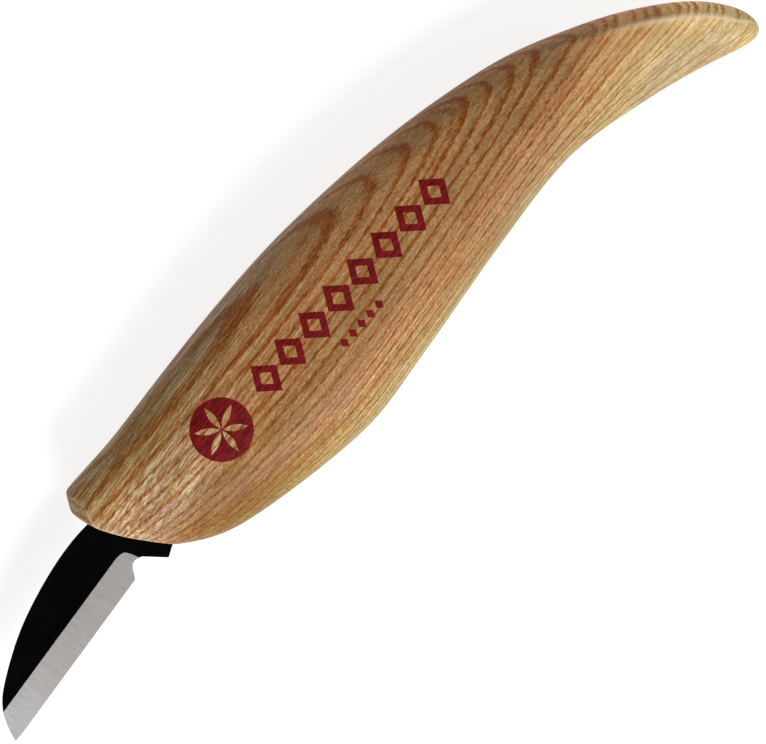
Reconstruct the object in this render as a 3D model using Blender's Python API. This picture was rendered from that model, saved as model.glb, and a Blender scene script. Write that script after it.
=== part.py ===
"""Whittling knife: a short fixed blade with a hidden tang, bonded into a one-piece hooked wooden handle.

The knife lies on its side. It is drawn in millimetres: x runs from the blade's tip to the handle's tail,
y from the cutting edge towards the spine, and z through the thickness, with y = 0 on the cutting edge and
z = 0 on the middle plane. An empty then carries it, so that it rests on the ground around the origin.
"""

import math

import bmesh
import bpy
import numpy as np
from mathutils import Matrix, Vector

MM = 0.001  # metres in a drawing unit

# Handle. Each rib joins a point of the spine to a point of the belly, from in front of the nose to the tail.
# Rows: spine x, spine y, belly x, belly y, half thickness.
HANDLE_RIBS = (
    (33.0, 18.2, 37.6, 2.9, 6.0),
    (40.5, 17.9, 44.0, -3.9, 6.9),
    (48.5, 17.12, 50.0, -8.2, 8.1),
    (57.0, 16.85, 57.5, -11.1, 9.2),
    (65.5, 16.65, 65.0, -13.4, 10.1),
    (74.0, 16.35, 72.5, -15.3, 10.75),
    (82.5, 15.8, 80.0, -16.45, 11.05),
    (91.5, 14.9, 88.5, -16.45, 11.1),
    (101.0, 13.35, 97.5, -16.3, 10.85),
    (111.0, 11.3, 107.0, -16.05, 10.3),
    (121.0, 8.7, 116.5, -15.95, 9.5),
    (131.0, 5.4, 125.0, -16.0, 8.6),
    (140.0, 1.7, 132.5, -16.6, 7.7),
    (148.0, -2.9, 139.0, -18.2, 6.9),
    (155.5, -8.05, 146.0, -20.65, 6.2),
    (161.5, -13.3, 153.0, -23.45, 5.6),
    (165.6, -17.9, 158.8, -26.15, 5.0),
    (168.1, -22.2, 163.3, -28.5, 4.2),
    (169.2, -25.8, 166.4, -29.75, 3.0),
    (169.0, -28.4, 168.1, -29.55, 1.0),
)
STEPS_PER_RIB = 3  # sections built from one rib to the next
HALF_RING = 22  # edges from the spine round one side to the belly
FULLNESS = 2.35  # superellipse exponent of the oval section: 2 is an ellipse
SIDE_FLAT = 10.85  # height of the sanded flat on each cheek, which is half the knife's thickness
CREASE_EDGES = 5  # ring edges between the spine and the crease
CREASE_FROM, CREASE_FULL = 137.0, 156.0  # spine x where the tail's crease starts, and where it is crisp
BAND = 3.1  # depth of the narrow band between the tail's two creases
BAND_SHARE = 0.44  # most of a section's depth that the band takes, near the tail's end
TAIL_FULLNESS = 2.2  # superellipse exponent of the tail's cheek, from the crease to the belly

# Nose of the handle: a slightly domed front, the chamfer above it, and a facet on each side of the corner.
NOSE_FRONT = ((36.1, 15.05), (36.5, 11.5), (37.5, 8.0), (38.95, 4.4), (41.9, -1.55), (44.6, -6.6))
NOSE_CHAMFER_TOP = (43.4, 23.7)
NOSE_FACET = ((37.0, 10.2, 6.6), (38.8, 15.4, 5.2), (36.1, 15.05, 2.4))

# Blade. Its outline runs from the spine at the handle, round the tip, along the edge and back to the handle.
BLADE_THICKNESS = 1.5
BLADE_SPINE = ((36.5, 11.75), (33.0, 12.17), (28.0, 12.2), (22.0, 11.63), (16.0, 10.53), (11.0, 9.0),
               (7.0, 7.42), (4.5, 6.13), (2.8, 4.75))
BLADE_TIP = ((2.8, 4.75), (1.4, 2.9), (0.1, 0.5), (0.35, 0.1), (1.3, 0.0))
CHOIL = ((33.0, 0.0), (33.6, 0.3), (34.6, 1.45), (35.6, 1.95), (36.7, 1.6))
CHOIL_SPUR = (37.15, 1.35)
SHOULDER_CORNER = (39.6, -2.26)
GRIND_HEIGHT = 4.6  # height of the line where the bevels start, above the cutting edge
EDGE_LAND = 0.06  # thickness left at the cutting edge
PLUNGE = ((34.2, 4.6), (35.5, 4.35), (36.3, 3.4), (36.8, 1.2), (37.0, -1.0))

# Tang: thinner than the blade, it narrows from the nose to a parallel strip with a round end.
TANG_THICKNESS = 1.3
TANG_STEP = 0.35  # how far in front of the nose the blade thins to the tang
TANG_NECK = 49.0
TANG_LOW, TANG_HIGH = 1.0, 9.6
TANG_END = 72.0
KEY_HOLES = (55.0, 65.0)
KEY_HOLE_RADIUS = 1.6

# Adhesive: half thicknesses of the space it leaves for the tang, of the adhesive itself, and of the slot.
BOND_GAP = 0.1  # clearance between solids that are bonded
GLUE_FILM = 0.25  # adhesive on each side of the tang
TANG_SPACE_HALF = TANG_THICKNESS / 2.0 + BOND_GAP
GLUE_HALF = TANG_SPACE_HALF + GLUE_FILM
SLOT_HALF = GLUE_HALF + BOND_GAP
GLUE_FRONT_LOW, GLUE_FRONT_HIGH = 43.2, 38.0  # x where it starts, on the tang's lower and upper edges

# Drawing.
ARC_STEPS = 4  # points from one given point of a round outline to the next
TANG_END_EDGES = 12
SAME_POINT = 0.01  # points of an outline nearer than this are one
SHARP_ANGLE = math.radians(30.0)
CUTTER_HALF = 5.0
CLEAR_OF_TIP, CLEAR_BELOW, CLEAR_OF_NOSE, CLEAR_OF_TANG = -4.0, -4.0, 30.0, 80.0


def clear_scene():
    for old in list(bpy.data.objects):
        bpy.data.objects.remove(old, do_unlink=True)


def make_collection(name):
    collection = bpy.data.collections.new(name)
    bpy.context.scene.collection.children.link(collection)
    return collection


def make_material(name, colour, roughness, metallic):
    material = bpy.data.materials.new(name)
    material.use_nodes = True
    shader = material.node_tree.nodes["Principled BSDF"]
    shader.inputs["Base Color"].default_value = (*colour, 1.0)
    shader.inputs["Roughness"].default_value = roughness
    shader.inputs["Metallic"].default_value = metallic
    return material


def smooth_through(rows, steps):
    """Rows of a natural cubic spline through the given rows, with the given number of steps between two."""
    rows = np.array(rows, dtype=float)
    count = len(rows)
    system = np.eye(count)
    target = np.zeros_like(rows)
    for i in range(1, count - 1):
        system[i, i - 1:i + 2] = (1.0, 4.0, 1.0)
        target[i] = 6.0 * (rows[i + 1] - 2.0 * rows[i] + rows[i - 1])
    bend = np.linalg.solve(system, target)
    made = []
    for i in range(count - 1):
        for step in range(steps):
            b = step / steps
            a = 1.0 - b
            made.append(a * rows[i] + b * rows[i + 1]
                        + ((a ** 3 - a) * bend[i] + (b ** 3 - b) * bend[i + 1]) / 6.0)
    made.append(rows[-1])
    return np.array(made)


def smoothstep(low, high, value):
    t = min(max((value - low) / (high - low), 0.0), 1.0)
    return t * t * (3.0 - 2.0 * t)


def oval_half(depth, half_thickness):
    """Half of a superellipse from the spine to the belly, as (height above the rib's middle, z)."""
    points = []
    for k in range(HALF_RING + 1):
        angle = math.pi * k / HALF_RING
        up = math.copysign(abs(math.cos(angle)) ** (2.0 / FULLNESS), math.cos(angle))
        out = max(math.sin(angle), 0.0) ** (2.0 / FULLNESS)
        points.append((up * depth / 2.0, out * half_thickness))
    return np.array(points)


def creased_half(depth, half_thickness):
    """Half of the tail's section: a shallow band over the spine, a crease, and a cheek down to the belly."""
    band = min(BAND, BAND_SHARE * depth)
    radius = (half_thickness ** 2 + band ** 2) / (2.0 * band)
    crease_angle = math.asin(min(half_thickness / radius, 1.0))
    points = []
    for k in range(CREASE_EDGES):
        angle = crease_angle * k / CREASE_EDGES
        points.append((depth / 2.0 - radius * (1.0 - math.cos(angle)), radius * math.sin(angle)))
    cheek_edges = HALF_RING - CREASE_EDGES
    for k in range(cheek_edges + 1):
        angle = math.pi / 2.0 * k / cheek_edges
        down = math.sin(angle) ** (2.0 / TAIL_FULLNESS)
        out = max(math.cos(angle), 0.0) ** (2.0 / TAIL_FULLNESS)
        points.append((depth / 2.0 - band - (depth - band) * down, out * half_thickness))
    return np.array(points)


def section_ring(rib):
    """The closed ring of one section, in the plane of its rib and z."""
    spine, belly, half_thickness = rib[:2], rib[2:4], rib[4]
    depth = float(np.linalg.norm(spine - belly))
    up = (spine - belly) / depth
    middle = (spine + belly) / 2.0
    crease = smoothstep(CREASE_FROM, CREASE_FULL, spine[0])
    half = (1.0 - crease) * oval_half(depth, half_thickness) + crease * creased_half(depth, half_thickness)
    half[:, 1] *= half_thickness / half[:, 1].max()
    half[:, 1] = np.minimum(half[:, 1], SIDE_FLAT)
    half[[0, -1], 1] = 0.0
    mirrored = half[-2:0:-1] * (1.0, -1.0)
    return [(*(middle + height * up), z) for height, z in np.vstack((half, mirrored))]


def mesh_object(name, mesh, collection):
    made = bpy.data.objects.new(name, mesh)
    collection.objects.link(made)
    return made


def move_to(collection, piece):
    for owner in list(piece.users_collection):
        owner.objects.unlink(piece)
    collection.objects.link(piece)


def loft(name, rings, collection):
    """A closed body through the rings, with a flat first end and a last end drawn to its middle point."""
    shape = bmesh.new()
    rows = [[shape.verts.new(Vector(point) * MM) for point in ring] for ring in rings]
    count = len(rows[0])
    for near, far in zip(rows, rows[1:]):
        for k in range(count):
            after = (k + 1) % count
            shape.faces.new((near[k], near[after], far[after], far[k]))
    shape.faces.new(rows[0])
    pole = shape.verts.new(sum((vert.co for vert in rows[-1]), Vector()) / count)
    for k in range(count):
        shape.faces.new((rows[-1][k], rows[-1][(k + 1) % count], pole))
    bmesh.ops.recalc_face_normals(shape, faces=shape.faces)
    mesh = bpy.data.meshes.new(name)
    shape.to_mesh(mesh)
    shape.free()
    mesh.shade_smooth()
    mesh.set_sharp_from_angle(angle=SHARP_ANGLE)
    return mesh_object(name, mesh, collection)


def flat_piece(name, outline, half_thickness, collection):
    """A closed plate with the given outline, from z = -half_thickness to +half_thickness."""
    curve = bpy.data.curves.new(name, "CURVE")
    curve.dimensions = "2D"
    curve.fill_mode = "BOTH"
    curve.extrude = half_thickness * MM
    spline = curve.splines.new("POLY")
    spline.points.add(len(outline) - 1)
    for point, (x, y) in zip(spline.points, outline):
        point.co = (x * MM, y * MM, 0.0, 1.0)
    spline.use_cyclic_u = True
    drawn = bpy.data.objects.new(name, curve)
    collection.objects.link(drawn)
    bpy.context.view_layer.update()
    evaluated = drawn.evaluated_get(bpy.context.evaluated_depsgraph_get())
    mesh = bpy.data.meshes.new_from_object(evaluated)
    bpy.data.objects.remove(drawn)
    bpy.data.curves.remove(curve)
    shape = bmesh.new()
    shape.from_mesh(mesh)
    bmesh.ops.remove_doubles(shape, verts=shape.verts, dist=0.001 * MM)
    bmesh.ops.recalc_face_normals(shape, faces=shape.faces)
    shape.to_mesh(mesh)
    shape.free()
    mesh.name = name
    mesh.shade_flat()
    return mesh_object(name, mesh, collection)


def make_cutter(cutter):
    cutter.hide_render = True
    cutter.display_type = "WIRE"
    return cutter


def combine(target, tool, operation="DIFFERENCE"):
    modifier = target.modifiers.new(tool.name, "BOOLEAN")
    modifier.operation = operation
    modifier.solver = "EXACT"
    modifier.object = tool


def rod_along_z(name, x, radius, half_length, collection):
    """A rod through the middle line of the tang."""
    y = (TANG_LOW + TANG_HIGH) / 2.0
    bpy.ops.mesh.primitive_cylinder_add(vertices=24, radius=radius * MM, depth=2.0 * half_length * MM,
                                        location=(x * MM, y * MM, 0.0))
    rod = bpy.context.object
    rod.name = name
    move_to(collection, rod)
    return rod


def on_line(start, end, x):
    """The point at x on the line through two points."""
    return (x, start[1] + (end[1] - start[1]) * (x - start[0]) / (end[0] - start[0]))


def tang_outline(front_low, front_high, margin):
    """The tang grown by the margin, from x = front_low on its lower edge round to front_high on its upper."""
    centre = (TANG_END - (TANG_HIGH - TANG_LOW) / 2.0, (TANG_HIGH + TANG_LOW) / 2.0)
    radius = (TANG_HIGH - TANG_LOW) / 2.0 + margin
    low_x, low_y = on_line(SHOULDER_CORNER, (TANG_NECK, TANG_LOW), front_low)
    high_x, high_y = on_line(BLADE_SPINE[0], (TANG_NECK, TANG_HIGH), front_high)
    points = [(low_x, low_y - margin), (TANG_NECK, TANG_LOW - margin)]
    for k in range(TANG_END_EDGES + 1):
        angle = math.pi * (k / TANG_END_EDGES - 0.5)
        points.append((centre[0] + radius * math.cos(angle), centre[1] + radius * math.sin(angle)))
    points += [(TANG_NECK, TANG_HIGH + margin), (high_x, high_y + margin)]
    return points


def blade_outline():
    points = []
    for stretch in (BLADE_SPINE, BLADE_TIP, CHOIL):
        points += [tuple(point) for point in smooth_through(stretch, ARC_STEPS)]
    points.append(CHOIL_SPUR)
    points += tang_outline(SHOULDER_CORNER[0], BLADE_SPINE[0][0], 0.0)
    kept = []
    for point in points:
        if math.dist(point, points[0]) > SAME_POINT and (not kept or math.dist(point, kept[-1]) > SAME_POINT):
            kept.append(point)
    return [points[0]] + kept


def bevel_cutter(side, collection):
    """A prism whose inner face is the ground bevel on one side, as far as the plunge at the heel."""
    rise = (BLADE_THICKNESS - EDGE_LAND) / 2.0
    tilt = math.atan2(rise, GRIND_HEIGHT)
    bevel = [(CLEAR_OF_TIP, CLEAR_BELOW), (CLEAR_OF_TIP, GRIND_HEIGHT)]
    bevel += [tuple(point) for point in smooth_through(PLUNGE, ARC_STEPS)]
    bevel.append((PLUNGE[-1][0], CLEAR_BELOW))
    outline = [(x, side * (y - GRIND_HEIGHT)) for x, y in bevel]
    cutter = flat_piece(f"bevel_cutter_{'upper' if side > 0 else 'lower'}", outline, CUTTER_HALF, collection)
    place = Matrix.Translation(Vector((0.0, GRIND_HEIGHT, side * BLADE_THICKNESS / 2.0)) * MM)
    turn = Matrix.Rotation(tilt if side > 0 else math.pi - tilt, 4, "X")
    cutter.matrix_world = place @ turn @ Matrix.Translation((0.0, 0.0, CUTTER_HALF * MM))
    return make_cutter(cutter)


def tang_cutter(side, collection):
    """A plate over one side of the tang, which starts just in front of the nose."""
    outline = [(x - TANG_STEP, y) for x, y in smooth_through(NOSE_FRONT, ARC_STEPS)]
    outline += [(CLEAR_OF_TANG, NOSE_FRONT[-1][1]), (CLEAR_OF_TANG, NOSE_FRONT[0][1])]
    cutter = flat_piece(f"tang_cutter_{'upper' if side > 0 else 'lower'}", outline, CUTTER_HALF, collection)
    cutter.location.z = side * (TANG_THICKNESS / 2.0 + CUTTER_HALF) * MM
    return make_cutter(cutter)


def facet_cutter(side, collection):
    """A block whose inner face is the small facet beside the nose's upper corner."""
    a, b, c = (Vector((x, y, side * z)) for x, y, z in NOSE_FACET)
    outward = (b - a).cross(c - a).normalized()
    if outward.z * side < 0.0:
        outward.negate()
    bpy.ops.mesh.primitive_cube_add(size=2.0 * CUTTER_HALF * MM)
    block = bpy.context.object
    block.name = f"facet_cutter_{'upper' if side > 0 else 'lower'}"
    move_to(collection, block)
    middle = (a + b + c) / 3.0 + outward * CUTTER_HALF
    turn = outward.to_track_quat("Z", "Y").to_matrix().to_4x4()
    block.matrix_world = Matrix.Translation(middle * MM) @ turn
    return make_cutter(block)


def nose_cutter(collection):
    outline = [NOSE_CHAMFER_TOP]
    outline += [tuple(point) for point in smooth_through(NOSE_FRONT, ARC_STEPS)]
    outline += [(CLEAR_OF_NOSE, NOSE_FRONT[-1][1]), (CLEAR_OF_NOSE, NOSE_CHAMFER_TOP[1])]
    return make_cutter(flat_piece("nose_cutter", outline, 2.0 * SIDE_FLAT, collection))


def make_handle(parts, cutters):
    rings = [section_ring(rib) for rib in smooth_through(HANDLE_RIBS, STEPS_PER_RIB)]
    handle = loft("handle", rings, parts)
    combine(handle, nose_cutter(cutters))
    for side in (1, -1):
        combine(handle, facet_cutter(side, cutters))
    slot = tang_outline(CLEAR_OF_NOSE, CLEAR_OF_NOSE, 2.0 * BOND_GAP + GLUE_FILM)
    combine(handle, make_cutter(flat_piece("slot_cutter", slot, SLOT_HALF, cutters)))
    return handle


def make_blade(parts, cutters):
    blade = flat_piece("blade", blade_outline(), BLADE_THICKNESS / 2.0, parts)
    for side in (1, -1):
        combine(blade, bevel_cutter(side, cutters))
        combine(blade, tang_cutter(side, cutters))
    for number, x in enumerate(KEY_HOLES, start=1):
        hole = rod_along_z(f"key_hole_cutter_{number}", x, KEY_HOLE_RADIUS, CUTTER_HALF, cutters)
        combine(blade, make_cutter(hole))
    return blade


def make_adhesive(parts, cutters):
    """A shell of adhesive round the tang, open at the nose, with a plug through each of the tang's holes."""
    filled = tang_outline(GLUE_FRONT_LOW, GLUE_FRONT_HIGH, BOND_GAP + GLUE_FILM)
    adhesive = flat_piece("tang_adhesive", filled, GLUE_HALF, parts)
    space = tang_outline(CLEAR_OF_NOSE, CLEAR_OF_NOSE, BOND_GAP)
    combine(adhesive, make_cutter(flat_piece("tang_space_cutter", space, TANG_SPACE_HALF, cutters)))
    plug_half = GLUE_HALF - GLUE_FILM / 2.0
    for number, x in enumerate(KEY_HOLES, start=1):
        plug = rod_along_z(f"key_plug_{number}", x, KEY_HOLE_RADIUS - BOND_GAP, plug_half, cutters)
        combine(adhesive, make_cutter(plug), "UNION")
    return adhesive


def world_box(pieces):
    """The lowest and highest corner of the finished pieces, in metres."""
    graph = bpy.context.evaluated_depsgraph_get()
    corners = []
    for piece in pieces:
        shape = piece.evaluated_get(graph)
        corners += [shape.matrix_world @ Vector(corner) for corner in shape.bound_box]
    return np.min(corners, axis=0), np.max(corners, axis=0)


def main():
    clear_scene()
    parts = make_collection("whittling_knife")
    cutters = make_collection("cutters")

    handle = make_handle(parts, cutters)
    handle.data.materials.append(make_material("ash_wood", (0.55, 0.36, 0.18), 0.45, 0.0))
    blade = make_blade(parts, cutters)
    blade.data.materials.append(make_material("black_oxide_steel", (0.02, 0.02, 0.022), 0.38, 0.9))
    adhesive = make_adhesive(parts, cutters)
    adhesive.data.materials.append(make_material("epoxy", (0.62, 0.5, 0.3), 0.3, 0.0))

    bpy.context.view_layer.update()
    low, high = world_box((handle, blade, adhesive))
    carrier = bpy.data.objects.new("whittling_knife_origin", None)
    parts.objects.link(carrier)
    for piece in list(parts.objects) + list(cutters.objects):
        if piece is not carrier:
            piece.parent = carrier
    carrier.location = (-(low[0] + high[0]) / 2.0, -(low[1] + high[1]) / 2.0, -low[2])


main()
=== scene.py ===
"""Looks of the whittling knife: varnished ash, black oxide steel with ground bevels, and a printed mark.

Shapes are drawn in millimetres: x from the blade's tip to the handle's tail, y from the edge towards the
spine, z through the thickness. to_row() puts them in the row frame, in metres.
"""

import math
from types import SimpleNamespace

import bmesh
import bpy
import numpy as np
from mathutils import Matrix, Vector
from mathutils.bvhtree import BVHTree


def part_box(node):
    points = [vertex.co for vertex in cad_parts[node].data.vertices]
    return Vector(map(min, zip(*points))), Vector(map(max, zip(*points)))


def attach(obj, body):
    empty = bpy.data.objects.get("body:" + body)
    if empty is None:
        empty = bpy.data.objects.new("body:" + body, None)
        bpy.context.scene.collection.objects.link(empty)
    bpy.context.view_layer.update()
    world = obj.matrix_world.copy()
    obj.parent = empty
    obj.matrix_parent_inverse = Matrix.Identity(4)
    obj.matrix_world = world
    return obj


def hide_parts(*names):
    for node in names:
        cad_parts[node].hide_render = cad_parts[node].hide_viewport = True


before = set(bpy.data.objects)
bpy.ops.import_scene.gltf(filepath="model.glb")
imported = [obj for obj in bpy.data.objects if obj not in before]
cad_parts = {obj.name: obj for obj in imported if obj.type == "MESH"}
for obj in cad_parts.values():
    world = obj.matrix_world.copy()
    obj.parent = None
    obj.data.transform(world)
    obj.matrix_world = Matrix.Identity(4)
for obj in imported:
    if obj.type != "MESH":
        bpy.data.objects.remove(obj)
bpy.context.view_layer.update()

MM = 0.001  # metres in a drawing unit

# Places the drawing shares with the CAD solids.
TANG_END = 72.0
SHOULDER_CORNER = (39.6, -2.26)
SIDE_FLAT = 10.85  # how far the flats sanded on the cheeks are from the middle

# The handle's ribs: a point of the spine, the point of the belly across from it, and half the thickness.
HANDLE_RIBS = (
    (33.0, 18.2, 37.6, 2.9, 6.0),
    (40.5, 17.9, 44.0, -3.9, 6.9),
    (48.5, 17.12, 50.0, -8.2, 8.1),
    (57.0, 16.85, 57.5, -11.1, 9.2),
    (65.5, 16.65, 65.0, -13.4, 10.1),
    (74.0, 16.35, 72.5, -15.3, 10.75),
    (82.5, 15.8, 80.0, -16.45, 11.05),
    (91.5, 14.9, 88.5, -16.45, 11.1),
    (101.0, 13.35, 97.5, -16.3, 10.85),
    (111.0, 11.3, 107.0, -16.05, 10.3),
    (121.0, 8.7, 116.5, -15.95, 9.5),
    (131.0, 5.4, 125.0, -16.0, 8.6),
    (140.0, 1.7, 132.5, -16.6, 7.7),
    (148.0, -2.9, 139.0, -18.2, 6.9),
    (155.5, -8.05, 146.0, -20.65, 6.2),
    (161.5, -13.3, 153.0, -23.45, 5.6),
    (165.6, -17.9, 158.8, -26.15, 5.0),
    (168.1, -22.2, 163.3, -28.5, 4.2),
    (169.2, -25.8, 166.4, -29.75, 3.0),
    (169.0, -28.4, 168.1, -29.55, 1.0),
)
FULLNESS, TAIL_FULLNESS = 2.35, 2.2  # exponents of the oval section and of the tail's cheek
CREASE_FROM, CREASE_FULL = 137.0, 156.0  # spine's x where the creased section begins, and is full
BAND = 3.1  # depth of the band between the tail's creases
BAND_SHARE = 0.44  # most of a section's depth that the band takes
HALF_RING = 80  # edges of a section from the spine round one side to the belly
CREASE_EDGES = 18  # those of them that cross half the band
CREASE_SOFT_EDGES, CREASE_SOFT_PASSES = 3, 2
FLAT_SOFTNESS = 0.12
SECTIONS = 1500  # sections that each line of the handle is read from
BODY_RINGS = 210

NOSE_FRONT = ((36.1, 15.05), (36.5, 11.5), (37.5, 8.0), (38.95, 4.4), (41.9, -1.55), (44.6, -6.6))
NOSE_CHAMFER_TOP = (43.4, 23.7)
NOSE_FACET = ((37.0, 10.2, 6.6), (38.8, 15.4, 5.2), (36.1, 15.05, 2.4))
NOSE_ROUNDING = 0.22
NOSE_MIDDLE = 8.0  # y of the middle of the nose's front
NOSE_STEPS = 40  # steps between two points of the front
NOSE_RINGS = 16
RIM_STEP, RIM_REACH = 0.12, 1.4  # rings are this close together as far as this from the rim
RIM_LAST = (1.8, 2.3)  # and at these distances behind it
RIM_SOFT_RINGS, RIM_SOFT_PASSES = 8, 5

# Attributes of the handle's points, and the painted highlight along the nose's rim and the tail's creases,
# where they catch the light.
PAINTED_HIGHLIGHT = "painted_highlight"
BAND_DEPTH = "band_depth"  # how far inside the tail's crease a point of the band lies
HIGHLIGHT_FROM, HIGHLIGHT_FULL = 150.0, 160.0
RIM_HIGHLIGHT = 0.24
RIM_HIGHLIGHT_LOW, RIM_HIGHLIGHT_HIGH = 10.5, 14.0  # the rim has its painted highlight below the first height, and hardly any above the second
RIM_HIGHLIGHT_DROP = 0.8
CREASE_HIGHLIGHT = 1.5  # in edges of the section
CREASE_HIGHLIGHT_STRENGTH = 1.7

BLADE_THICKNESS = 1.5
BLADE_SPINE = ((36.5, 11.75), (33.0, 12.17), (28.0, 12.2), (22.0, 11.63), (16.0, 10.53), (11.0, 9.0),
               (7.0, 7.42), (4.5, 6.13), (2.8, 4.75))
BLADE_TIP = ((2.8, 4.75), (1.4, 2.9), (0.1, 0.5), (0.35, 0.1), (1.3, 0.0))
CHOIL = ((33.0, 0.0), (33.6, 0.3), (34.6, 1.45), (35.6, 1.95), (36.7, 1.6))
CHOIL_SPUR = (37.15, 1.35)
GRIND_HEIGHT = 4.6
EDGE_LAND = 0.06
PLUNGE = ((34.2, 4.6), (35.5, 4.35), (36.3, 3.4), (36.8, 1.2), (37.0, -1.0))
EDGE_ROUNDING, EDGE_ROUNDING_STEPS = 0.07, 2
EDGE_ROUNDING_ANGLE = math.radians(60.0)
TILTED = (0.95, 0.9995)  # upright parts of the normals of faces that tilt as a bevel does
GRIND_MARGIN, PLUNGE_MARGIN, FLAT_MARGIN = 0.05, 0.3, 0.004

TANG_THICKNESS = 1.3
TANG_STEP = 0.35  # how far outside the nose the tang starts
TANG_NECK = 49.0
TANG_LOW, TANG_HIGH = 1.0, 9.6
TANG_MIDDLE = (TANG_LOW + TANG_HIGH) / 2.0
TANG_END_EDGES = 24
KEY_HOLES = (55.0, 65.0)
KEY_HOLE_RADIUS = 1.6
BOND_GAP = 0.1
GLUE_FILM = 0.25
GLUE_DRAWN_IN = 0.25  # how far behind the nose's front the adhesive starts
GLUE_HALF = TANG_THICKNESS / 2.0 + BOND_GAP + GLUE_FILM
SLOT_HALF = GLUE_HALF + BOND_GAP

ARC_STEPS = 10
ROD_SIDES = 48
POINTS_APART = 0.01  # points of an outline closer than this are one point
WELD = 0.001
SHARP_ANGLE = math.radians(40.0)
CUTTER_HALF = 5.0
CLEAR_OF_TIP, CLEAR_BELOW, CLEAR_OF_NOSE, CLEAR_OF_TANG = -4.0, -4.0, 30.0, 80.0
CUT_PAST = 2.0  # how far a cut in the adhesive starts past what it cuts

blade_low, blade_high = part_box("blade")
DATUM = Vector((blade_high.x - TANG_END * MM, blade_low.y - SHOULDER_CORNER[1] * MM,
                (blade_low.z + blade_high.z) / 2.0))

# Colours of the varnished ash.
LATE_DARK, LATE_PALE = (0.30, 0.162, 0.060), (0.46, 0.270, 0.108)
EARLY_DARK, EARLY_PALE = (0.25, 0.056, 0.004), (0.47, 0.138, 0.010)
TAIL_EARLY = (0.33, 0.122, 0.024)
SPECKLE_DARK, SPECKLE_PALE = (0.33, 0.118, 0.019), (0.53, 0.335, 0.15)
FIBRE_SHADE, CLOUD_SHADE = (0.25, 0.095, 0.024), (0.22, 0.10, 0.035)
FINE_PORE, PORE = (0.17, 0.052, 0.011), (0.13, 0.038, 0.007)
BAND_DARK = (0.25, 0.092, 0.020)
# painted highlight where the nose's rim and the tail's creases catch the light
HIGHLIGHT_COLOUR = (0.86, 0.68, 0.44)
FINE_PORE_WEIGHT, PORE_WEIGHT, HIGHLIGHT_WEIGHT = 0.5, 0.85, 0.45

# Tints that multiply those colours.
NOSE_BELLY_TINT = (0.70, 0.69, 0.54)
NOSE_CHEEK_TINT = (1.20, 1.60, 2.5)
NOSE_SPINE_TINT = (1.03, 1.20, 1.16)
# painted light and sheen: the belly side, which faces the lamp, paler and bluer
BELLY_PAINTED_LIGHT = (0.97, 1.43, 1.66)
MIDDLE_TINT = (0.84, 0.88, 0.86)
# painted reflection: a bluish-grey sheen along the spine's side
SPINE_PAINTED_SHEEN = (0.97, 1.15, 1.5)
# the tail paler: partly its timber, partly painted light and sheen on the tail's cheek
TAIL_TONE_AND_LIGHT = (1.55, 1.58, 1.74)
BAND_TINT = (1.26, 1.10, 0.86)
ARCH_TINT, BETWEEN_TINT = (0.88, 0.70, 0.50), (1.0, 1.01, 1.04)
GRIT_DARK, GRIT_PALE = (0.78, 0.60, 0.44), (1.26, 1.40, 1.58)
LINE_DARK, LINE_PALE = (0.78, 0.60, 0.42), (1.16, 1.33, 1.44)

# Where tints and shades change: from one of two places to the other, along x or up y.
NOSE_END_X, TAIL_X = (50.0, 72.0), (134.0, 160.0)
NOSE_CHEEK_Y, NOSE_SPINE_Y = (-3.0, 2.0), (7.0, 11.0)
MIDDLE_X, MIDDLE_LOW_Y, MIDDLE_HIGH_Y = (60.0, 72.0), (-10.0, -6.5), (-4.0, 2.0)
ARCHED_X, ARCHED_Y = (62.0, 78.0), (-12.0, -3.0)
LINED_X, LINED_Y = (70.0, 95.0), (-8.0, 8.0)
SHADED_Y = (2.0, 12.0)
# where the painted sheen along the spine comes in
SPINE_SHEEN_Y = (10.0, 15.0)
BELLY_LIGHT_GROWTH = (3.0, -6.0)  # growth past the drawing's x axis, over which the belly's painted light comes in
ON_BAND = (0.2, 1.2)  # inside the tail's crease

# Paler and darker patches, some of them the timber's tone and some painted light, shade and sheen: the
# middle, the reach along x and y, and the tint.
TONE_AND_LIGHT_PATCHES = (
    ((42.0, 10.0), (8.0, 4.0), (1.24, 1.28, 1.42)),
    ((43.5, 2.5), (6.0, 4.0), (0.86, 0.80, 0.84)),
    ((62.0, -7.0), (23.0, 9.0), (0.93, 0.90, 0.66)),
    # the next three: painted sheen along the spine's upper side
    ((66.0, 11.0), (14.0, 4.5), (1.0, 1.14, 1.28)),
    ((77.0, 14.0), (9.0, 3.5), (1.12, 1.30, 1.40)),
    ((111.0, 10.5), (25.0, 5.0), (1.16, 1.20, 1.20)),
    ((125.0, -12.5), (19.0, 7.0), (1.0, 1.02, 1.18)),
    ((147.0, -6.0), (14.0, 7.0), (0.80, 0.80, 0.86)),
    ((158.0, -13.0), (6.0, 4.0), (0.90, 0.82, 0.76)),
    ((150.0, -21.5), (9.0, 4.0), (0.80, 0.80, 0.96)),
    # the next two: painted light on the tail tip's spine side, and painted shade on its belly side
    ((165.0, -19.5), (8.0, 8.0), (1.42, 1.38, 1.46)),
    ((159.0, -25.5), (9.0, 5.5), (0.74, 0.71, 0.76)),
)
PATCH_CORE = 0.25  # share of a patch's reach that has its whole tint
PATCH_DEPTH = 1000.0  # reach through the thickness

# Patterns in the wood: how far each stretches along the grain and across it, and where it starts.
FIBRE, STREAK = (5.0, 0.13, 0.0), (26.0, 0.8, 13.0)
CLOUD, SPECKLE = (30.0, 8.0, 71.0), (1.2, 0.17, 97.0)
LINES, GRIT = (9.0, 0.36, 187.0), (0.55, 0.16, 151.0)
VESSELS, FINE_VESSELS = (2.2, 0.26, 0.0), (1.4, 0.2, 41.0)
START_SHARES = (1.0, 0.7, 1.3)  # how much of a start x, y and z move by

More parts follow.
